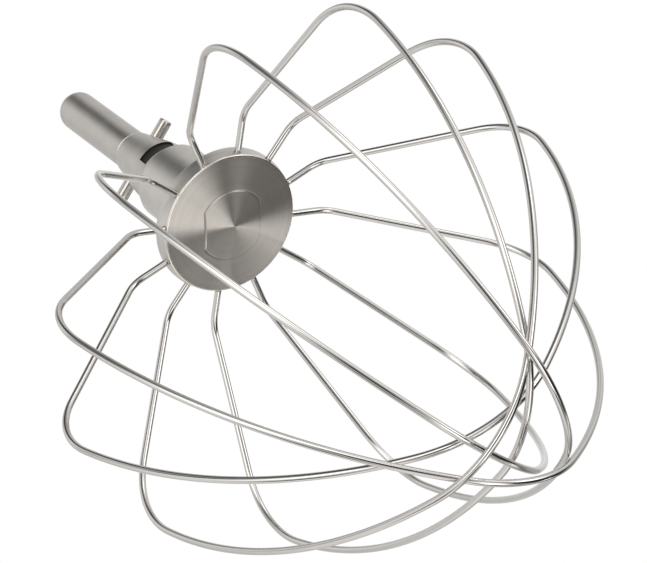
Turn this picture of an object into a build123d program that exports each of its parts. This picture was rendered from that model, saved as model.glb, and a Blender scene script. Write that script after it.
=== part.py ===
import os
from math import cos, radians, sin, sqrt

from build123d import *

os.makedirs("parts", exist_ok=True)

# Heights run along the shaft from the cross pin's axis, positive towards the mixer.
# The cross pin lies along X.
shaft_radius = 6.35
shaft_top = 48.85
dome_radius = 5.05
collar_top = 5.5
collar_radius = 6.95
collar_chamfer = 0.2
shoulder_height = -10.65
shoulder_radius = 10.35
upper_cove = 56.0

# Rivet spigot with two flats, set in the hub and turned flush with its face.
spigot_radius = 11.0
flat_distance = 9.25
flat_direction = 54.0
spigot_clearance = 0.04

# Notch milled with a flat floor across the foot of the shaft's lower flare, just above the hub.
notch_direction = -50.0
notch_reach = 34.0
notch_top = -13.25

# Hub: a disc with a shallow conical face, flaring up into the neck.
rim_front = -53.95
face_radius = 21.2
face_rise = 2.4
front_chamfer = 0.6
rim_radius = 22.3
rim_taper = 3.0
rim_back = 5.65
rim_fillet = 1.2
rim_lip = 1.55
lip_rise = 0.42
neck_radius = 12.25
flare_turn = 75.0
joint_height = -19.65

pin_radius = 2.0
pin_length = 28.0
pin_chamfer = 0.3
pin_clearance = 0.02

wire_radius = 1.0
wire_clearance = 0.03
wire_setback = 1.6
wire_end_radius = 14.5
stub_end_radius = 31.5
bend_radius = 6.6
bend_angle = 39.0

# Depth of the longest loop below the rim's front edge.
cage_depth = 149.5

# One row per loop: direction of its chord, how far it stops short of the cage's depth, straight
# run, shoulder radius, heading after the shoulder, heading after the side, swing of the loop's
# plane about the chord, lean in that plane, shift along the chord.
loops = [
    (-58.0, 1.0, 46.0, 25.5, 104.0, 145.0, 5.0, 0.5, -0.6),
    (-26.0, 7.5, 43.5, 27.0, 105.5, 147.0, 2.0, 1.0, 0.6),
    (2.0, 1.5, 43.5, 28.5, 103.5, 145.0, -3.0, -2.0, 1.0),
    (32.5, 10.5, 47.5, 22.0, 104.5, 148.0, -1.0, -0.5, -0.5),
    (62.0, 0.0, 47.0, 23.0, 102.5, 146.5, 4.5, 1.5, 1.0),
    (91.0, 6.5, 43.0, 26.5, 106.5, 143.0, 3.0, 0.5, 0.5),
]

wire_height = rim_front + wire_setback
flare_radius = (rim_radius - rim_lip - neck_radius) / (1 - cos(radians(flare_turn)))
flare_top = rim_back + lip_rise + flare_radius * sin(radians(flare_turn))
cove_width = neck_radius - shoulder_radius
cove_drop = shoulder_height - joint_height
lower_cove = (cove_width**2 + cove_drop**2) / (2 * cove_width)
notch_top_radius = (
    shoulder_radius + lower_cove - sqrt(lower_cove**2 - (shoulder_height - notch_top) ** 2)
)


def face_height(radius):
    """Height of the conical front face at a radius."""
    return rim_front - face_rise * (1 - radius / face_radius)


def loop_plane(direction, swing, lean):
    """Plane of a loop: x along its chord, y towards the tip."""
    chord = Vector(cos(radians(direction)), sin(radians(direction)), 0)
    across = Vector(-sin(radians(direction)), cos(radians(direction)), 0)
    down = across * sin(radians(swing)) - Vector(0, 0, 1) * cos(radians(swing))
    x_dir = chord * cos(radians(lean)) - down * sin(radians(lean))
    y_dir = chord * sin(radians(lean)) + down * cos(radians(lean))
    return Plane(origin=(0, 0, wire_height), x_dir=x_dir, z_dir=x_dir.cross(y_dir))


def side_and_nose(start, depth, heading, side):
    """Radii of the side and nose arcs that carry a half loop to its tip on the middle line."""
    a, b = radians(heading), radians(side)
    out, down = -start.X, depth - start.Y
    scale = (sin(b) - sin(a)) * (cos(b) + 1) + sin(b) * (cos(a) - cos(b))
    side_radius = (out * (cos(b) + 1) + down * sin(b)) / scale
    nose_radius = ((sin(b) - sin(a)) * down - (cos(a) - cos(b)) * out) / scale
    return side_radius, nose_radius


with BuildPart() as drive_shaft:
    with BuildSketch(Plane.XZ):
        with BuildLine():
            Polyline(
                (0, face_height(0)),
                (spigot_radius, face_height(spigot_radius)),
                (spigot_radius, joint_height),
                (neck_radius, joint_height),
            )
            RadiusArc(
                (neck_radius, joint_height), (shoulder_radius, shoulder_height), lower_cove
            )
            RadiusArc(
                (shoulder_radius, shoulder_height),
                (collar_radius, collar_top - collar_chamfer),
                upper_cove,
            )
            Polyline(
                (collar_radius, collar_top - collar_chamfer),
                (collar_radius - collar_chamfer, collar_top),
                (shaft_radius, collar_top),
                (shaft_radius, shaft_top - dome_radius),
            )
            RadiusArc(
                (shaft_radius, shaft_top - dome_radius),
                (shaft_radius - dome_radius, shaft_top),
                -dome_radius,
            )
            Polyline(
                (shaft_radius - dome_radius, shaft_top),
                (0, shaft_top),
                (0, face_height(0)),
            )
        make_face()
    revolve(axis=Axis.Z)
    with BuildSketch(Plane.XY.offset(joint_height)):
        with Locations(Rotation(0, 0, flat_direction)):
            with Locations((2 * flat_distance, 0), (-2 * flat_distance, 0)):
                Rectangle(2 * flat_distance, 4 * spigot_radius)
    extrude(amount=2 * rim_front, mode=Mode.SUBTRACT)
    with BuildSketch(Plane.XZ.rotated((0, 0, notch_direction))):
        with BuildLine():
            top_floor = notch_top_radius * cos(radians(notch_reach))
            foot_floor = neck_radius * cos(radians(notch_reach))
            Polyline(
                (top_floor, notch_top),
                (2 * neck_radius, notch_top),
                (2 * neck_radius, joint_height),
                (foot_floor, joint_height),
                close=True,
            )
        make_face()
    extrude(amount=neck_radius, both=True, mode=Mode.SUBTRACT)
    with BuildSketch(Plane.YZ.offset(-pin_length)):
        Circle(pin_radius + pin_clearance)
    extrude(amount=2 * pin_length, mode=Mode.SUBTRACT)

with BuildPart() as hub:
    with BuildSketch(Plane.XZ):
        with BuildLine():
            flare_end = (
                neck_radius + flare_radius * (1 - cos(radians(flare_turn))),
                rim_front + flare_top - flare_radius * sin(radians(flare_turn)),
            )
            Polyline(
                (0, face_height(0)),
                (face_radius, rim_front),
                (face_radius + front_chamfer, rim_front + front_chamfer),
                (rim_radius, rim_front + rim_taper),
                (rim_radius, rim_front + rim_back),
                flare_end,
            )
            RadiusArc(flare_end, (neck_radius, rim_front + flare_top), flare_radius)
            Polyline(
                (neck_radius, rim_front + flare_top),
                (neck_radius, joint_height),
                (0, joint_height),
                (0, face_height(0)),
            )
        make_face()
    revolve(axis=Axis.Z)
    rim_edges = hub.edges().filter_by(GeomType.CIRCLE).sort_by(SortBy.RADIUS)[-2:]
    fillet(rim_edges.sort_by(Axis.Z)[-1], rim_fillet)
    with BuildSketch(Plane.XY.offset(joint_height)):
        Circle(spigot_radius + spigot_clearance)
        with Locations(Rotation(0, 0, flat_direction)):
            Rectangle(
                2 * (flat_distance + spigot_clearance),
                4 * spigot_radius,
                mode=Mode.INTERSECT,
            )
    extrude(amount=2 * rim_front, mode=Mode.SUBTRACT)
    for direction, short, run, shoulder, heading, side, swing, lean, shift in loops:
        end_line = loop_plane(direction, swing, lean)
        for way in (1, -1):
            hole = end_line.x_dir * way
            foot = end_line.origin + hole * (wire_end_radius - wire_clearance)
            with BuildSketch(Plane(origin=foot, z_dir=hole)):
                Circle(wire_radius + wire_clearance)
            extrude(amount=rim_radius, mode=Mode.SUBTRACT)

with BuildPart() as cross_pin:
    with BuildSketch(Plane.YZ.offset(-pin_length / 2)):
        Circle(pin_radius)
    extrude(amount=pin_length)
    chamfer(cross_pin.edges().filter_by(GeomType.CIRCLE), pin_chamfer)

for part, name in ((drive_shaft, "drive_shaft"), (hub, "hub"), (cross_pin, "cross_pin")):
    part.part.label = name
    export_step(part.part, f"parts/{name}.step")

for number, row in enumerate(loops, start=1):
    direction, short, run, shoulder, heading, side, swing, lean, shift = row
    with BuildLine() as path:
        stub = Line((wire_end_radius, 0), (stub_end_radius + shift, 0))
        bend = JernArc(stub @ 1, stub % 1, bend_radius, bend_angle)
        leg = Line(bend @ 1, bend @ 1 + (bend % 1) * run)
        top = JernArc(leg @ 1, leg % 1, shoulder, heading - bend_angle)
        start = top @ 1 - Vector(shift, 0)
        depth = cage_depth - short + wire_setback
        side_radius, nose_radius = side_and_nose(start, depth, heading, side)
        flank = JernArc(top @ 1, top % 1, side_radius, side - heading)
        nose = JernArc(flank @ 1, flank % 1, nose_radius, 2 * (180 - side))
        flank_back = JernArc(nose @ 1, nose % 1, side_radius, side - heading)
        top_back = JernArc(flank_back @ 1, flank_back % 1, shoulder, heading - bend_angle)
        leg_back = Line(top_back @ 1, top_back @ 1 + (top_back % 1) * run)
        bend_back = JernArc(leg_back @ 1, leg_back % 1, bend_radius, bend_angle)
        stub_back = Line(bend_back @ 1, (-wire_end_radius, 0))
    placed = loop_plane(direction, swing, lean).from_local_coords(path.line)
    with BuildPart() as wire_loop:
        with BuildSketch(Plane(origin=placed @ 0, z_dir=placed % 0)):
            Circle(wire_radius)
        sweep(path=placed)
    wire_loop.part.label = f"wire_loop_{number}"
    export_step(wire_loop.part, f"parts/wire_loop_{number}.step")
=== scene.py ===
import bpy
import numpy as np
from mathutils import Matrix, Vector


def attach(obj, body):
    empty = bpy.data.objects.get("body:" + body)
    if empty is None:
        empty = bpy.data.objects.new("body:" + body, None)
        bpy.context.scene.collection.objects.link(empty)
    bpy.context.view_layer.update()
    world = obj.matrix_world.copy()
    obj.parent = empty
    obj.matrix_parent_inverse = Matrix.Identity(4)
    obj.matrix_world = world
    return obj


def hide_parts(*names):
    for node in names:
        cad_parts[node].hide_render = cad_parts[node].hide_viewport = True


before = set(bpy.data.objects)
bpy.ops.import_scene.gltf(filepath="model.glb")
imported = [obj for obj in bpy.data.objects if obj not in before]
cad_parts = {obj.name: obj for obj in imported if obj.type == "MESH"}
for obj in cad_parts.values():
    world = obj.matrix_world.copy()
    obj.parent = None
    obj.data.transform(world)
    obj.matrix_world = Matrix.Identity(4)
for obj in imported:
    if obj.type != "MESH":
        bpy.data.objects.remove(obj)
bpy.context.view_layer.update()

# DRIVE SHAFT
# The half-inch stainless shaft that goes up into the mixer, turned in one piece: domed end, plain
# cylinder, relief groove, fine collar and two coves that widen to the hub. A notch is milled across its
# foot, and a spigot with two flats goes down through the hub and is turned flush with its face.
MM = 0.001  # sizes are in millimetres, heights from the cross pin's axis, directions in degrees
AROUND = 360
HALF_STEP = 180 / AROUND  # half the angle between two columns, in degrees
SHAFT_RADIUS, SHAFT_TOP, DOME_RADIUS, TOP_POLE = 6.35, 48.85, 5.05, 0.3
COLLAR_RADIUS, COLLAR_EDGE, COLLAR_BEVEL_IN, COLLAR_BEVEL_UP = 7.15, 4.6, 0.35, 0.5
RELIEF_RADIUS, RELIEF_FLOOR, RELIEF_WIDTH, RELIEF_TOP = 6.1, 5.78, 0.05, 6.2
SHOULDER, SHOULDER_RADIUS, SHOULDER_BLEND, UPPER_COVE = -10.65, 10.35, 1.0, 130.0
JOINT, NECK_RADIUS = -19.65, 12.25
NOTCH_TOP, NOTCH_TILT, NOTCH_LIFT, NOTCH_DEPTH, NOTCH_WALL = -12.1, 1.0, 2.2, 0.6, 0.002
NOTCH_START, NOTCH_END, NOTCH_SLANT, NOTCH_FALL = -87, -14, 22, 65
SPIGOT_RADIUS, FLAT_DISTANCE, FLAT_DIRECTION = 11.0, 9.25, 54
# The spigot keeps within its outline by an ease. At a pole the rows give way to a fan of triangles: at a
# share of the spigot's radius, and at a radius on the dome.
SPIGOT_EASE, END_POLE = 0.02, 0.03
RIM_FRONT, FACE_RADIUS, FACE_RISE = -53.95, 21.2, 2.4
SEAM_WIDTH, SEAM_DEPTH, SEAM_OPEN = 0.4, 0.3, -84


def linear(code):
    """Linear colour of an sRGB hex value: the power curve with a straight foot, channel by channel."""
    c = np.array([int(code[i : i + 2], 16) for i in (0, 2, 4)]) / 255
    return (*np.where(c <= 0.04045, c / 12.92, ((c + 0.055) / 1.055) ** 2.4), 1.0)


def node(tree, kind, settings=None, **links):
    """Adds one node. Settings are its properties; each link name is an input's name, or inN for the
    Nth input, and gets a value or another node's output."""
    n = tree.nodes.new(kind)
    for key, value in (settings or {}).items():
        setattr(n, key, value)
    for key, value in links.items():
        place = int(key[2:]) if key[:2] == "in" and key[2:].isdigit() else key.replace("_", " ")
        if isinstance(value, bpy.types.NodeSocket):
            tree.links.new(value, n.inputs[place])
        else:
            n.inputs[place].default_value = value
    return n


def metal(name, roughness, anisotropy=0.0):
    """A bare metal: its material, node tree and shader, ready for colour and marks."""
    m = bpy.data.materials.new(name)
    m.use_nodes = True
    shader = m.node_tree.nodes["Principled BSDF"]
    shader.inputs["Metallic"].default_value = 1.0
    shader.inputs["Roughness"].default_value = roughness
    shader.inputs["Anisotropic"].default_value = anisotropy
    return m, m.node_tree, shader


def arc(start, end, radius, count):
    """Points of the circular arc of a radius from start to end in the profile plane, to the left of the
    chord for a positive radius: centre on the chord's normal, points at the centre plus radius times
    cosine and sine of evenly spaced angles."""
    start, end = np.array(start), np.array(end)
    half = (end - start) / 2
    length = np.hypot(*half)
    normal = np.array([-half[1], half[0]]) / length
    centre = start + half - np.sign(radius) * normal * np.sqrt(radius**2 - length**2)
    a0 = np.arctan2(*(start - centre)[::-1])
    turn = (np.arctan2(*(end - centre)[::-1]) - a0 + np.pi) % (2 * np.pi) - np.pi
    a = a0 + turn * np.linspace(0, 1, count)
    return centre + abs(radius) * np.c_[np.cos(a), np.sin(a)]


def run(start, end, count):
    """Points of a straight run in the profile plane, evenly spaced."""
    return np.linspace(start, end, count)


def face_height(radius):
    """Height of the shallow cone that the front face is turned to, straight with the radius."""
    return RIM_FRONT - FACE_RISE * (1 - radius / FACE_RADIUS)


def foot_radius(height):
    """Radius of the shaft's foot: the lesser of two coves, each a circle's arc, eased into one another by
    half the sum less half the root of the squared difference and the squared blend. The lower arc stands
    upright at the shoulder and reaches the neck at the joint; the upper one goes on to the collar."""
    wide, high = NECK_RADIUS - SHOULDER_RADIUS, SHOULDER - JOINT
    bend = (wide**2 + high**2) / (2 * wide)
    lower = SHOULDER_RADIUS + bend - np.sqrt(bend**2 - np.clip(height - SHOULDER, -bend, bend) ** 2)
    chord = np.array([COLLAR_RADIUS - SHOULDER_RADIUS, COLLAR_EDGE - SHOULDER]) / 2
    half = np.hypot(*chord)
    out = np.array([chord[1], -chord[0]]) / half * np.sqrt(UPPER_COVE**2 - half**2)
    centre = np.array([SHOULDER_RADIUS, SHOULDER]) + chord + out
    upper = centre[0] - np.sqrt(UPPER_COVE**2 - (height - centre[1]) ** 2)
    return (lower + upper - np.hypot(lower - upper, SHOULDER_BLEND)) / 2


turn = np.radians(np.arange(AROUND))
# The spigot's outline: the flats' distance over the cosine of the angle from their normal, and no more
# than the spigot's radius.
from_flat = np.abs(np.cos(turn - np.radians(FLAT_DIRECTION)))
outline = FLAT_DISTANCE / np.maximum(from_flat, FLAT_DISTANCE / SPIGOT_RADIUS)


def turned(radius, height):
    """Rows of radius and height carried round the shaft's axis: (r cos t, r sin t, z). A row is one
    number, or one number for each degree."""
    r, z = np.broadcast_arrays(radius, height, np.zeros((1, AROUND)))[:2]
    return np.stack([r * np.cos(turn), r * np.sin(turn), z], -1)


def quads(rows, around, first=0, closed=False):
    """Faces of a grid of rows by around points whose rows close on themselves; the last row may join
    the first."""
    i = np.arange(rows if closed else rows - 1)[:, None]
    j = np.arange(around)[None]
    k = (j + 1) % around
    up = (i + 1) % rows
    corners = [i * around + j, i * around + k, up * around + k, up * around + j]
    return first + np.stack(corners, -1).reshape(-1, 4)


def fan(row, pole, outward=True):
    """Triangles from a closed row of points to a pole."""
    k = np.roll(row, -1)
    return np.c_[row, k, 0 * row + pole] if outward else np.c_[k, row, 0 * row + pole]


def skin(rows, around):
    """Faces of a closed skin: a grid of rows, and fans from its first and last row to two poles, which are
    the last two points."""
    row, pole = np.arange(around), rows * around
    return [quads(rows, around), fan(row, pole, False), fan(row + pole - around, pole + 1)]


def piece(name, points, faces, materials, slot, *nodes, marks=None, finish=None, sharp=28):
    """A mesh object at the origin from points in millimetres, riding on the body in place of its CAD
    nodes. Marks are the numbers along the surface that its finish follows, finish is the material of each
    face, and edges sharper than an angle in degrees stay sharp."""
    mesh = bpy.data.meshes.new(name)
    mesh.from_pydata((points.reshape(-1, 3) * MM).tolist(), [], [f for part in faces for f in part.tolist()])
    mesh.polygons.foreach_set("use_smooth", np.ones(len(mesh.polygons), bool))
    if finish is not None:
        mesh.polygons.foreach_set("material_index", finish.astype(np.int32))
    for key, values in (marks or {}).items():
        layer = mesh.attributes.new(key, "FLOAT", "POINT")
        layer.data.foreach_set("value", np.ravel(values).astype(np.float32))
    mesh.update()
    mesh.set_sharp_from_angle(angle=np.radians(sharp))
    o = bpy.data.objects.new(name, mesh)
    bpy.context.scene.collection.objects.link(o)
    for material in materials:
        mesh.materials.append(material)
    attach(o, "root")
    if nodes:
        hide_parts(*nodes)


def length_along(profile):
    """Length run along a profile, in millimetres: the steps between its points added up."""
    return np.r_[0, np.cumsum(np.linalg.norm(np.diff(profile, axis=0), axis=1))]


# Satin-turned stainless steel: light warm grey that blurs what it reflects, with fine turning rings and
# a faint cloudiness. The rings are 0.05 mm apart on the real shaft and drawn about 0.4 mm apart to show.
RING_SPACING, RING_DEPTH, RING_BUMP, RING_SHARE, CLOUD_SIZE = 0.4, 0.02, 0.06, 0.5, 6.0
SHADE_LOW, SHADE_HIGH, GLOSS_SPREAD = 0.45, 1.05, 0.03


def turned_steel(name, roughness, dark, light):
    """Steel with turning rings, noise over the length along the profile, and clouds, noise in space. Their
    sum moves the colour between two greys and the roughness a little to either side."""
    steel, tree, shader = metal(name, roughness)
    along = node(tree, "ShaderNodeAttribute", {"attribute_name": "along"}).outputs["Fac"]
    place = node(tree, "ShaderNodeTexCoord").outputs["Object"]
    rings = node(
        tree, "ShaderNodeTexNoise", {"noise_dimensions": "1D"}, W=along, Scale=1 / RING_SPACING, Detail=3.0
    ).outputs[0]
    cloud = node(tree, "ShaderNodeTexNoise", Vector=place, Scale=1 / (CLOUD_SIZE * MM), Detail=2.0).outputs[0]
    mixed = node(
        tree, "ShaderNodeMath", {"operation": "MULTIPLY_ADD"}, in0=rings, in1=RING_SHARE, in2=cloud
    ).outputs[0]
    shade = node(tree, "ShaderNodeMapRange", in0=mixed, in1=SHADE_LOW, in2=SHADE_HIGH).outputs[0]
    colour = node(
        tree, "ShaderNodeMix", {"data_type": "RGBA"}, in0=shade, in6=linear(dark), in7=linear(light)
    ).outputs[2]
    smooth, rough = roughness - GLOSS_SPREAD, roughness + GLOSS_SPREAD
    gloss = node(
        tree, "ShaderNodeMapRange", in0=mixed, in1=SHADE_LOW, in2=SHADE_HIGH, in3=smooth, in4=rough
    ).outputs[0]
    bump = node(tree, "ShaderNodeBump", Height=rings, Strength=RING_BUMP, Distance=RING_DEPTH * MM).outputs[0]
    tree.links.new(colour, shader.inputs["Base Color"])
    tree.links.new(gloss, shader.inputs["Roughness"])
    tree.links.new(bump, shader.inputs["Normal"])
    return steel


shaft_steel = turned_steel("satin_turned_stainless_steel", 0.38, "c9c5bf", "d9d5cf")

# Painted shade in the milled notch: its shallow floor is coloured dull and nearly black, a little browner
# in patches about 1.5 mm across, in place of the shade a deeper slot would hold.
NOTCH_PATCH = 1.5
notch_painted_shade, tree, shader = metal("painted_notch_shade", 0.6)
shader.inputs["Metallic"].default_value = 0.0
shader.inputs["Specular IOR Level"].default_value = 0.25
place = node(tree, "ShaderNodeTexCoord").outputs["Object"]
patch = node(tree, "ShaderNodeTexNoise", Vector=place, Scale=1 / (NOTCH_PATCH * MM), Detail=3.0).outputs[0]
colour = node(
    tree, "ShaderNodeMix", {"data_type": "RGBA"}, in0=patch, in6=linear("2a2827"), in7=linear("34302d")
).outputs[2]
tree.links.new(colour, shader.inputs["Base Color"])

# Steel faced on the lathe: fine rings round the axis draw each reflection out along the radius, so light
# and dark lie in sectors. The cutter's rings are 0.1 mm apart and drawn about 0.5 mm apart to show, over
# broader bands about 2.5 mm wide.
FACE_RING, FACE_BAND, FACE_RING_SHARE, FACE_LOW, FACE_HIGH = 0.5, 2.5, 0.7, 0.55, 1.15
face_steel, tree, shader = metal("faced_stainless_steel", 0.29, 1.0)
shader.inputs["Anisotropic Rotation"].default_value = 0.25
round_axis = node(tree, "ShaderNodeTangent", {"direction_type": "RADIAL", "axis": "Z"}).outputs[0]
tree.links.new(round_axis, shader.inputs["Tangent"])
place = node(tree, "ShaderNodeTexCoord").outputs["Object"]
flat = node(tree, "ShaderNodeVectorMath", {"operation": "MULTIPLY"}, in0=place, in1=(1, 1, 0)).outputs[0]
reach = node(tree, "ShaderNodeVectorMath", {"operation": "LENGTH"}, in0=flat).outputs["Value"]
rings = node(
    tree, "ShaderNodeTexNoise", {"noise_dimensions": "1D"}, W=reach, Scale=1 / (FACE_RING * MM), Detail=4.0
).outputs[0]
bands = node(
    tree, "ShaderNodeTexNoise", {"noise_dimensions": "1D"}, W=reach, Scale=1 / (FACE_BAND * MM), Detail=2.0
).outputs[0]
mixed = node(
    tree, "ShaderNodeMath", {"operation": "MULTIPLY_ADD"}, in0=rings, in1=FACE_RING_SHARE, in2=bands
).outputs[0]
shade = node(tree, "ShaderNodeMapRange", in0=mixed, in1=FACE_LOW, in2=FACE_HIGH).outputs[0]
colour = node(
    tree, "ShaderNodeMix", {"data_type": "RGBA"}, in0=shade, in6=linear("d7d1c9"), in7=linear("e0dad2")
).outputs[2]
tree.links.new(colour, shader.inputs["Base Color"])

# Rows from the middle of the spigot's end out to the seam, up the spigot, out under the shaft's foot, and
# up the coves, collar, groove and cylinder to the dome.
end_share = np.linspace(END_POLE, 1, 24)[:, None]
end_radius = np.vstack([end_share * (outline - SEAM_WIDTH), outline - SPIGOT_EASE])
end_height = face_height(end_radius)
# The seam closes up on the side away from the notch, where the face was turned down over it.
seam = SEAM_DEPTH * (0.5 + 0.5 * np.cos(turn - np.radians(SEAM_OPEN))) ** 2
end_height[-1] += seam
# The foot's rows tilt up along the notch, so that one of them runs along its top edge.
around = (np.degrees(turn) - NOTCH_START) % 360
span = NOTCH_END - NOTCH_START
below_wall = np.linspace(JOINT, NOTCH_TOP - NOTCH_WALL, 40)
foot = np.r_[below_wall, np.linspace(NOTCH_TOP, COLLAR_EDGE, 80)][:, None]
tilt = NOTCH_TILT * np.interp(around, [0, span, 180, 360], [0, 1, 0, 0])
foot_height = foot + tilt * np.interp(foot, [JOINT, NOTCH_TOP, COLLAR_EDGE], [0, 1, 0])
collar_bevel = (COLLAR_RADIUS - COLLAR_BEVEL_IN, COLLAR_EDGE + COLLAR_BEVEL_UP)
dome_start, dome_end = (SHAFT_RADIUS, SHAFT_TOP - DOME_RADIUS), (SHAFT_RADIUS - DOME_RADIUS, SHAFT_TOP)
stem = np.vstack(
    [
        [collar_bevel, (RELIEF_RADIUS, RELIEF_FLOOR - RELIEF_WIDTH), (RELIEF_RADIUS, RELIEF_FLOOR)],
        run((SHAFT_RADIUS, RELIEF_TOP), dome_start, 40),
        arc(dome_start, dome_end, -DOME_RADIUS, 28)[1:],
        run(dome_end, (TOP_POLE, SHAFT_TOP), 4)[1:],
    ]
)
# The notch: between its top and its foot, and between its two ends, the radius is less by its depth. Its
# foot comes down to the joint as it goes round, and its far end slants back towards the joint.
end = span - NOTCH_SLANT * (NOTCH_TOP - foot) / (NOTCH_TOP - JOINT)
low = JOINT + NOTCH_LIFT * np.clip(1 - around / NOTCH_FALL, 0, 1)
cut = (foot < NOTCH_TOP - NOTCH_WALL / 2) & (foot_height >= low) & (around > HALF_STEP) & (around < end)
shaft_radius = np.vstack(
    [end_radius, outline, foot_radius(foot_height) - NOTCH_DEPTH * cut, np.repeat(stem[:, :1], AROUND, 1)]
)
shaft_height = np.vstack(
    [end_height, np.full((1, AROUND), JOINT), foot_height, np.repeat(stem[:, 1:], AROUND, 1)]
)
shaft_points = turned(shaft_radius, shaft_height).reshape(-1, 3)
shaft_poles = [[0, 0, face_height(0)], [0, 0, SHAFT_TOP]]
shaft_line = np.c_[shaft_radius[:, 0], shaft_height[:, 0]]
rows = len(shaft_radius)
# Faces in the notch take the near-black painted shade; the rest of the shaft keeps its satin steel.
in_notch = np.zeros((rows, AROUND), bool)
in_notch[len(end_radius) + 1 :][: len(foot)] = cut
touches_notch = in_notch.reshape(-1)[quads(rows, AROUND)].any(1)
on_face = np.repeat(np.arange(rows - 1) < len(end_radius), AROUND)
piece(
    "drive_shaft_body",
    np.vstack([shaft_points, shaft_poles]),
    skin(rows, AROUND),
    [shaft_steel, notch_painted_shade, face_steel],
    "shaft_steel",
    "drive_shaft",
    marks={"along": np.r_[np.repeat(length_along(shaft_line), AROUND), 0, 0]},
    finish=np.r_[np.where(on_face, 2, touches_notch), np.full(AROUND, 2), np.zeros(AROUND)],
    sharp=15,
)

# HUB
# The round stainless disc that holds the wires: a flange with a shallow conical face and a rounded front
# edge, flaring up into the neck under the shaft's foot. Turned all over, faced together with the
# spigot's end, so one set of rings runs over both and only the seam shows the spigot's two flats.
EDGE_RADIUS, EDGE_ROUND, EDGE_ROWS = 21.75, 0.52, 9
RIM_RADIUS, RIM_TAPER, RIM_BACK, RIM_FILLET = 22.3, 3.0, 5.65, 1.2
RIM_LIP, LIP_RISE, FLARE_TURN = 1.55, 0.42, np.radians(75)
CORNER_IN, CORNER_UP, NECK_BEVEL, FACE_INSET, BORE_EASE = 0.02, 0.1, 0.15, 0.05, 0.04
FLARE_RADIUS = (RIM_RADIUS - RIM_LIP - NECK_RADIUS) / (1 - np.cos(FLARE_TURN))
flare_end = np.array([RIM_RADIUS - RIM_LIP, RIM_FRONT + RIM_BACK + LIP_RISE])
flare_top = (NECK_RADIUS, flare_end[1] + FLARE_RADIUS * np.sin(FLARE_TURN))
lip_angle = np.arctan2(LIP_RISE, RIM_LIP)
fillet_set = RIM_FILLET * np.tan((np.pi / 2 - lip_angle) / 2)
fillet_low = np.array([RIM_RADIUS, RIM_FRONT + RIM_BACK - fillet_set])
fillet_corner = np.array([RIM_RADIUS, RIM_FRONT + RIM_BACK])
fillet_high = fillet_corner + fillet_set * np.array([-np.cos(lip_angle), np.sin(lip_angle)])
# The taper stops a little short of its two corners, so that they are eased.
taper_back = (RIM_RADIUS - CORNER_IN, RIM_FRONT + RIM_TAPER - CORNER_UP)
taper_front = (EDGE_RADIUS + CORNER_IN, RIM_FRONT + EDGE_ROUND + CORNER_UP)
edge_back, edge_front = (EDGE_RADIUS, RIM_FRONT + EDGE_ROUND), (EDGE_RADIUS - EDGE_ROUND, RIM_FRONT)
hub_steel = turned_steel("satin_turned_hub_steel", 0.38, "d3cfc9", "e1ddd7")
# The hub's front edge, burnished by handling and so smoother than the satin steel beside it; its brighter
# colour is a painted highlight along the edge.
edge_steel_and_highlight = turned_steel("burnished_edge_and_painted_highlight", 0.2, "ece6dc", "f4efe6")
side = np.vstack(
    [
        [(NECK_RADIUS - NECK_BEVEL, JOINT)],
        run((NECK_RADIUS, JOINT - NECK_BEVEL), flare_top, 20),
        arc(flare_top, flare_end, -FLARE_RADIUS, 70)[1:],
        arc(fillet_high, fillet_low, RIM_FILLET, 14),
        run(fillet_low, (RIM_RADIUS, RIM_FRONT + RIM_TAPER + CORNER_UP), 5)[1:],
        run(taper_back, taper_front, 8),
        arc(edge_back, edge_front, EDGE_ROUND, EDGE_ROWS),
    ]
)
face_share = np.linspace(1, 0, 40)[:, None]
face_inner, face_outer = outline + SEAM_WIDTH, EDGE_RADIUS - EDGE_ROUND - FACE_INSET
face_radius = np.vstack([face_inner + (face_outer - face_inner) * face_share, outline + BORE_EASE])
face_z = face_height(face_radius)
face_z[-1] += seam
hub_radius = np.vstack([outline + BORE_EASE, np.repeat(side[:, :1], AROUND, 1), face_radius])
hub_height = np.vstack([np.full((1, AROUND), JOINT), np.repeat(side[:, 1:], AROUND, 1), face_z])
hub_line = np.c_[hub_radius[:, 0], hub_height[:, 0]]
rows = len(hub_radius)
face_start = rows - len(face_radius)
row = np.arange(rows)
on_face = (row >= face_start) & (row < rows - 1)
# The rows of the front edge take the burnished steel with its painted highlight.
on_edge = (row >= face_start - EDGE_ROWS) & (row < face_start)
piece(
    "hub_body",
    turned(hub_radius, hub_height),
    [quads(rows, AROUND, closed=True)[:, ::-1]],
    [hub_steel, face_steel, edge_steel_and_highlight],
    "hub_steel",
    "hub",
    marks={"along": np.repeat(length_along(hub_line), AROUND)},
    finish=np.repeat(np.select([on_face, on_edge], [1, 2], 0), AROUND),
)

# CROSS PIN
# A 4 mm dowel of hardened steel, ground all over with bevelled ends and pressed through the shaft, which
# the mixer's bayonet socket takes by both free ends.
PIN_RADIUS, PIN_LENGTH, PIN_CHAMFER, PIN_AROUND, PIN_POLE = 2.0, 28.0, 0.3, 96, 0.2
SIDE_EASE, BEVEL_EASE, END_EASE = 0.05, 0.04, 0.06
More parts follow.
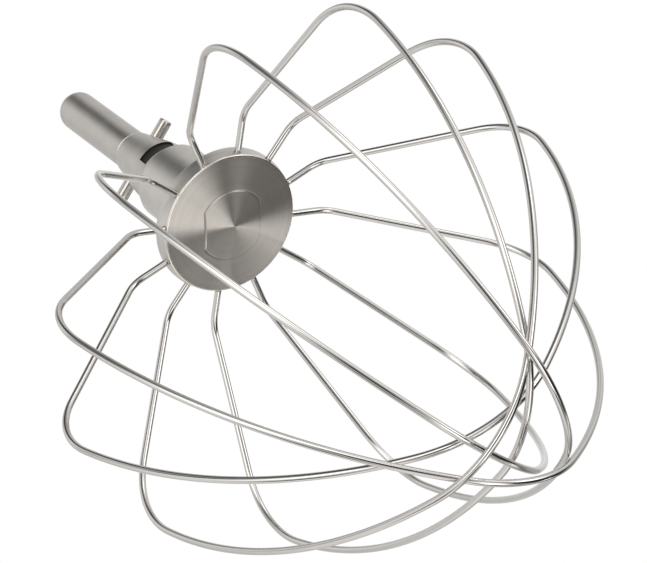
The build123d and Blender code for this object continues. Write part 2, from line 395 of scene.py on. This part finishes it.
# The side, the bevel and the end each stop a little short of the edges between them, so that they are eased.
half_length = PIN_LENGTH / 2
bevel_back = (PIN_RADIUS - BEVEL_EASE, half_length - PIN_CHAMFER + BEVEL_EASE)
bevel_front = (PIN_RADIUS - PIN_CHAMFER + BEVEL_EASE, half_length - BEVEL_EASE)
pin_half = np.vstack(
    [
        run((PIN_RADIUS, 0), (PIN_RADIUS, half_length - PIN_CHAMFER - SIDE_EASE), 14),
        run(bevel_back, bevel_front, 4),
        run((PIN_RADIUS - PIN_CHAMFER - END_EASE, half_length), (PIN_POLE, half_length), 6),
    ]
)
pin_line = np.vstack([pin_half[:0:-1] * [1, -1], pin_half])
pin_turn = np.linspace(0, 2 * np.pi, PIN_AROUND, endpoint=False)
pin_radius, pin_along = pin_line[:, :1], pin_line[:, 1:]
pin_points = np.stack(
    [pin_along + 0 * pin_turn, pin_radius * np.cos(pin_turn), pin_radius * np.sin(pin_turn)], -1
)
pin_poles = [[-half_length, 0, 0], [half_length, 0, 0]]
# Ground dowel steel: bright, with fine grinding rings round the pin, drawn as far apart as the shaft's
# rings so that they show.
pin_steel = turned_steel("ground_dowel_steel", 0.3, "cecac2", "d9d5cd")
piece(
    "cross_pin_body",
    np.vstack([pin_points.reshape(-1, 3), pin_poles]),
    skin(len(pin_line), PIN_AROUND),
    [pin_steel],
    "pin_steel",
    "cross_pin",
    marks={"along": np.r_[np.repeat(length_along(pin_line), PIN_AROUND), 0, 0]},
)

# WIRE LOOPS
# Six loops of 2 mm stainless spring wire, their ends turned down to sit in the rim's holes. Each leaves
# the rim radially, bends down, runs out straight to a shoulder and closes in a long side and a nose; the
# loops cross at the tip without touching.
WIRE_RADIUS, WIRE_SETBACK, WIRE_END, STUB_END, BEND_RADIUS, BEND = 1.0, 1.6, 14.5, 30.3, 10.0, 39.0
TENON_RADIUS, TENON_REACH, TENON_SLACK = 0.7, 21.2, 0.01
CAGE_DEPTH, WIRE_SIDES, WIRE_STEP, LEAST_STEPS = 149.5, 28, 1.4, 10
# Direction of the chord, how far short of the cage's depth, straight run, shoulder radius, heading after
# the shoulder and after the side, swing, lean and shift of the loop's plane.
LOOPS = [
    (-58.0, 1.0, 44.8, 25.5, 104.0, 145.0, 5.0, 0.5, -0.6),
    (-26.0, 7.5, 42.3, 27.0, 105.5, 147.0, 2.0, 1.0, 0.6),
    (2.0, 1.5, 42.3, 28.5, 103.5, 145.0, -3.0, -2.0, 1.0),
    (32.5, 10.5, 46.3, 22.0, 104.5, 148.0, -1.0, -0.5, -0.5),
    (62.0, 0.0, 45.8, 23.0, 102.5, 146.5, 4.5, 1.5, 1.0),
    (91.0, 6.5, 41.8, 26.5, 106.5, 143.0, 3.0, 0.5, 0.5),
]


def loop_line(depth, straight, shoulder, heading, side, shift):
    """Middle line of a loop in its own plane, with its heading at each point: straight runs and arcs
    laid end to end, each arc turning the heading by its angle at its radius. The radii of the long
    side and the nose follow from the depth, so that both halves meet on the middle line."""
    b, h, s = np.radians([BEND, heading, side])
    x = STUB_END + BEND_RADIUS * np.sin(b) + straight * np.cos(b) + shoulder * (np.sin(h) - np.sin(b))
    y = BEND_RADIUS * (1 - np.cos(b)) + straight * np.sin(b) + shoulder * (np.cos(b) - np.cos(h))
    down = depth + WIRE_SETBACK - y
    scale = (np.sin(s) - np.sin(h)) * (np.cos(s) + 1) + np.sin(s) * (np.cos(h) - np.cos(s))
    side_radius = (-x * (np.cos(s) + 1) + down * np.sin(s)) / scale
    nose_radius = ((np.sin(s) - np.sin(h)) * down + (np.cos(h) - np.cos(s)) * x) / scale
    tenon, stub = TENON_REACH - WIRE_END, STUB_END - TENON_REACH
    # One row per stretch: heading at its end, radius of an arc, length of a straight run.
    stretches = [
        (0, 0, tenon),
        (0, 0, stub + shift),
        (BEND, BEND_RADIUS, 0),
        (BEND, 0, straight),
        (heading, shoulder, 0),
        (side, side_radius, 0),
        (360 - side, nose_radius, 0),
        (360 - heading, side_radius, 0),
        (360 - BEND, shoulder, 0),
        (360 - BEND, 0, straight),
        (360, BEND_RADIUS, 0),
        (360, 0, stub - shift),
        (360, 0, tenon),
    ]
    p, a0 = np.array([WIRE_END, 0.0]), 0.0
    points, headings = [p[None]], [np.zeros(1)]
    for turn_to, radius, length in stretches:
        a1 = np.radians(turn_to)
        steps = int(max(LEAST_STEPS, (radius * (a1 - a0) + length) / WIRE_STEP))
        a = np.linspace(a0, a1, steps + 1)[1:]
        way = length * np.linspace(0, 1, steps + 1)[1:, None] * [np.cos(a0), np.sin(a0)]
        q = p + way + radius * np.c_[np.sin(a) - np.sin(a0), np.cos(a0) - np.cos(a)]
        points.append(q)
        headings.append(a)
        p, a0 = q[-1], a1
    return np.vstack(points), np.concatenate(headings)


def loop_axes(direction, swing, lean):
    """The loop plane's axes: x along its chord, y to the tip, swung about the chord and leant in itself."""
    d, w, n = np.radians([direction, swing, lean])
    chord = np.array([np.cos(d), np.sin(d), 0])
    down = np.array([-np.sin(d), np.cos(d), 0]) * np.sin(w) - np.array([0, 0, np.cos(w)])
    x = chord * np.cos(n) - down * np.sin(n)
    y = chord * np.sin(n) + down * np.cos(n)
    return x, y, np.cross(x, y)


# Polished spring wire: mirror-like, so thin bright and dark lines run along it. The drawing marks lie along
# the wire, 0.02 mm wide on the real one and drawn about 0.3 mm wide and 12 mm long to show.
MARK_LENGTH, MARK_WIDTH, WIRE_CLOUD = 12, 0.3, 9
WIRE_LOW, WIRE_HIGH, WIRE_SMOOTH, WIRE_ROUGH = 0.7, 1.3, 0.14, 0.18
wire_steel, tree, shader = metal("polished_spring_wire", 0.16)
along = node(tree, "ShaderNodeAttribute", {"attribute_name": "along"}).outputs["Fac"]
place = node(tree, "ShaderNodeTexCoord").outputs["Object"]
across = node(tree, "ShaderNodeAttribute", {"attribute_name": "across"}).outputs["Fac"]
lengthwise = node(tree, "ShaderNodeMath", {"operation": "MULTIPLY"}, in0=along, in1=1 / MARK_LENGTH)
crosswise = node(tree, "ShaderNodeMath", {"operation": "MULTIPLY"}, in0=across, in1=1 / MARK_WIDTH)
spot = node(tree, "ShaderNodeCombineXYZ", in0=lengthwise.outputs[0], in1=crosswise.outputs[0]).outputs[0]
streaks = node(
    tree, "ShaderNodeTexNoise", {"noise_dimensions": "2D"}, Vector=spot, Scale=1.0, Detail=2.0
).outputs[0]
cloud = node(tree, "ShaderNodeTexNoise", Vector=place, Scale=1 / (WIRE_CLOUD * MM), Detail=2.0).outputs[0]
mixed = node(tree, "ShaderNodeMath", {"operation": "ADD"}, in0=streaks, in1=cloud).outputs[0]
shade = node(tree, "ShaderNodeMapRange", in0=mixed, in1=WIRE_LOW, in2=WIRE_HIGH).outputs[0]
colour = node(
    tree, "ShaderNodeMix", {"data_type": "RGBA"}, in0=shade, in6=linear("d8d5d1"), in7=linear("dedbd7")
).outputs[2]
gloss = node(
    tree, "ShaderNodeMapRange", in0=mixed, in1=WIRE_LOW, in2=WIRE_HIGH, in3=WIRE_SMOOTH, in4=WIRE_ROUGH
).outputs[0]
tree.links.new(colour, shader.inputs["Base Color"])
tree.links.new(gloss, shader.inputs["Roughness"])

wire_height = np.array([0, 0, RIM_FRONT + WIRE_SETBACK])
wire_turn = np.linspace(0, 2 * np.pi, WIRE_SIDES, endpoint=False)
wire_cos, wire_sin = np.cos(wire_turn)[None, :, None], np.sin(wire_turn)[None, :, None]
roots = []
for number, loop in enumerate(LOOPS, 1):
    direction, short, straight, shoulder, heading, side_heading, swing, lean, shift = loop
    line, way = loop_line(CAGE_DEPTH - short, straight, shoulder, heading, side_heading, shift)
    x, y, z = loop_axes(direction, swing, lean)
    middle = line[:, :1] * x + line[:, 1:] * y + wire_height
    normal = -np.sin(way)[:, None] * x + np.cos(way)[:, None] * y
    in_hole = np.hypot(*line.T) < TENON_REACH + TENON_SLACK
    thick = np.where(in_hole, TENON_RADIUS, WIRE_RADIUS)[:, None, None]
    tube = middle[:, None] + thick * (wire_cos * normal[:, None] + wire_sin * z)
    rows = len(line)
    piece(
        f"wire_{number}",
        np.vstack([tube.reshape(-1, 3), middle[[0, -1]]]),
        skin(rows, WIRE_SIDES),
        [wire_steel],
        "wire_steel",
        f"wire_loop_{number}",
        marks={
            "along": np.r_[np.repeat(length_along(middle), WIRE_SIDES), 0, 0],
            "across": np.r_[np.tile(np.abs(wire_turn - np.pi), rows), 0, 0],
        },
    )
    roots += [(x, y, z), (-x, y, -z)]

# WIRE ROOTS
# Where each wire goes into its hole in the rim it is brazed: the filler draws up into a small uneven
# fillet round the wire, dull yellow-brown from the heat.
ROOT_SUNK, ROOT_RISE, ROOT_INSET, ROOT_SPREAD, ROOT_ROWS, ROOT_SIDES = 0.75, 0.7, 0.05, 0.2, 7, 28
axis, first, second = (np.array(a)[:, None, None] for a in zip(*roots))
rise = np.linspace(0, 1, ROOT_ROWS)[None, :, None]
root_turn = np.linspace(0, 2 * np.pi, ROOT_SIDES, endpoint=False)[None, None]
which = np.arange(len(roots))[:, None, None]
# Each fillet falls away from the wire as the square of what is left of its rise; slow waves round it,
# different at each wire, make it uneven: each has its height, its number round the wire and its step from
# one wire to the next.
ROOT_WAVES = [(0.25, 1, 2.1), (0.15, 2, 3.7)]
wave = 1 + sum(height * np.sin(count * root_turn + step * which) for height, count, step in ROOT_WAVES)
spread = WIRE_RADIUS - ROOT_INSET + ROOT_SPREAD * wave * (1 - rise) ** 2
out = RIM_RADIUS - ROOT_SUNK + ROOT_RISE * wave * rise
root_points = (
    out[..., None] * axis
    + spread[..., None] * (np.cos(root_turn)[..., None] * first + np.sin(root_turn)[..., None] * second)
    + wire_height
)
# Silver braze after heating: dull straw to brown, in patches about 0.6 mm across.
BRAZE_PATCH, BRAZE_LOW, BRAZE_HIGH = 0.6, 0.35, 0.65
braze, tree, shader = metal("heat_tinted_braze", 0.42)
place = node(tree, "ShaderNodeTexCoord").outputs["Object"]
patch = node(tree, "ShaderNodeTexNoise", Vector=place, Scale=1 / (BRAZE_PATCH * MM), Detail=3.0).outputs[0]
shade = node(tree, "ShaderNodeMapRange", in0=patch, in1=BRAZE_LOW, in2=BRAZE_HIGH).outputs[0]
colour = node(
    tree, "ShaderNodeMix", {"data_type": "RGBA"}, in0=shade, in6=linear("948b7e"), in7=linear("cdc6bb")
).outputs[2]
tree.links.new(colour, shader.inputs["Base Color"])
per_root = ROOT_ROWS * ROOT_SIDES
piece(
    "wire_roots",
    root_points,
    [quads(ROOT_ROWS, ROOT_SIDES, k * per_root, closed=True)[:, ::-1] for k in range(len(roots))],
    [braze],
    "wire_steel",
)

# CAMERA, LIGHT AND FLOOR
# The camera looks up past the tip to the hub from below, as in the photograph, from about 0.83 m away. A
# white room with its lights goes round it all, and a pale floor lies below.
CAMERA_LENS, SENSOR_WIDTH, CAMERA_PLACE = 147.55, 36.0, (67.6624, -483.58124, -668.0483)
camera_data = bpy.data.cameras.new("camera")
camera_data.sensor_fit = "HORIZONTAL"
camera_data.sensor_width = SENSOR_WIDTH
camera_data.lens = CAMERA_LENS
camera_data.clip_start, camera_data.clip_end = 0.01, 50.0
camera = bpy.data.objects.new("camera", camera_data)
bpy.context.scene.collection.objects.link(camera)
right = Vector((0.505277, 0.683275, -0.527097))
up = Vector((0.858525, -0.336184, 0.38719))
back = Vector((0.087356, -0.648163, -0.756474))
camera.matrix_world = (
    Matrix.Translation(Vector(CAMERA_PLACE) * MM) @ Matrix((right, up, back)).transposed().to_4x4()
)
bpy.context.scene.camera = camera

# A room that is white to every ray. To all but the camera's own rays it has an even light besides, and soft
# lights and dark gaps round the camera, which the metal shows. Each row is one of these: its angle from
# the direction of the camera, its angle round it from the right of the picture, how tight it is, and how
# much it adds to the light of the room or takes from it.
STUDIO = [
    (103, 112, 3.4, -2.16),
    (68, 158, 99.8, -1.54),
    (124, 101, 35.8, 0.75),
    (35, 161, 12.3, 3.34),
    (36, 107, 18.4, 3.27),
    (79, 75, 71.2, 2.22),
    (67, 27, 35.6, 3.82),
    (21, 133, 4.3, -3.80),
    (106, -20, 2.5, -2.32),
    (105, 146, 7.4, 0.66),
    (63, -121, 35.5, -1.56),
    (121, -149, 1.7, -1.10),
    (39, -5, 6.6, 1.72),
    (71, -50, 158.3, -0.86),
    (103, -31, 160.0, 2.55),
    (92, 101, 11.9, 0.65),
    (55, -71, 57.2, -3.41),
    (122, -18, 17.2, 0.83),
    (57, 15, 16.0, -3.80),
    (91, 172, 64.1, -0.58),
    (60, -18, 55.5, -3.35),
    (77, -71, 66.6, -0.81),
    (106, -49, 59.9, 1.19),
    (51, -64, 157.6, 4.69),
]
ROOM_WHITE, ROOM_LEVEL, DARKEST = 1.0, 1.84, 0.02
world = bpy.data.worlds.new("white_studio")
bpy.context.scene.world = world
world.use_nodes = True
tree = world.node_tree
tree.nodes.clear()
ray = node(tree, "ShaderNodeTexCoord").outputs["Generated"]
level = ROOM_LEVEL - ROOM_WHITE
for polar, azimuth, tight, amount in STUDIO:
    p, a = np.radians([polar, azimuth])
    aim = np.sin(p) * (np.cos(a) * right + np.sin(a) * up) + np.cos(p) * back
    near = node(tree, "ShaderNodeVectorMath", {"operation": "DOT_PRODUCT"}, in0=ray, in1=aim).outputs["Value"]
    fall = node(tree, "ShaderNodeMath", {"operation": "MULTIPLY_ADD"}, in0=near, in1=tight, in2=-tight)
    lobe = node(tree, "ShaderNodeMath", {"operation": "EXPONENT"}, in0=fall.outputs[0]).outputs[0]
    added = node(tree, "ShaderNodeMath", {"operation": "MULTIPLY_ADD"}, in0=lobe, in1=amount, in2=level)
    level = added.outputs[0]
seen = node(tree, "ShaderNodeLightPath").outputs["Is Camera Ray"]
unseen = node(tree, "ShaderNodeMath", {"operation": "SUBTRACT"}, in0=1.0, in1=seen).outputs[0]
lit = node(tree, "ShaderNodeMath", {"operation": "MULTIPLY_ADD"}, in0=level, in1=unseen, in2=ROOM_WHITE)
strength = node(tree, "ShaderNodeMath", {"operation": "MAXIMUM"}, in0=lit.outputs[0], in1=DARKEST).outputs[0]
room = node(tree, "ShaderNodeBackground", Color=(1, 1, 1, 1), Strength=strength).outputs[0]
node(tree, "ShaderNodeOutputWorld", Surface=room)

# The floor lies well below the hanging whisk, under the camera: pale matt board with a faint mottle about
# 8 mm across, for the most part as white as the room to the camera. Its height and size are in metres.
FLOOR_HEIGHT, FLOOR_SIZE, FLOOR_WHITE, MOTTLE_SIZE = -2.2, 40.0, 0.85, 8
corner = np.array([[-1, -1], [1, -1], [1, 1], [-1, 1]]) * FLOOR_SIZE
floor_mesh = bpy.data.meshes.new("floor")
floor_mesh.from_pydata(np.c_[corner, np.full(4, FLOOR_HEIGHT)].tolist(), [], [[0, 1, 2, 3]])
floor = bpy.data.objects.new("floor", floor_mesh)
bpy.context.scene.collection.objects.link(floor)
board = bpy.data.materials.new("pale_board")
board.use_nodes = True
tree = board.node_tree
shader = tree.nodes["Principled BSDF"]
shader.inputs["Roughness"].default_value = 0.8
place = node(tree, "ShaderNodeTexCoord").outputs["Object"]
mottle = node(tree, "ShaderNodeTexNoise", Vector=place, Scale=1 / (MOTTLE_SIZE * MM), Detail=3.0).outputs[0]
colour = node(
    tree, "ShaderNodeMix", {"data_type": "RGBA"}, in0=mottle, in6=linear("f0efec"), in7=linear("f4f3f0")
).outputs[2]
tree.links.new(colour, shader.inputs["Base Color"])
seen = node(tree, "ShaderNodeLightPath").outputs["Is Camera Ray"]
share = node(tree, "ShaderNodeMath", {"operation": "MULTIPLY"}, in0=seen, in1=FLOOR_WHITE).outputs[0]
white = node(tree, "ShaderNodeEmission", Color=(1, 1, 1, 1), Strength=1.0).outputs[0]
seen_white = node(tree, "ShaderNodeMixShader", in0=share, in1=shader.outputs[0], in2=white).outputs[0]
tree.links.new(seen_white, tree.nodes["Material Output"].inputs["Surface"])
floor_mesh.materials.append(board)
floor.visible_glossy = False
floor.visible_shadow = False

bpy.context.scene.view_settings.view_transform = "Standard"
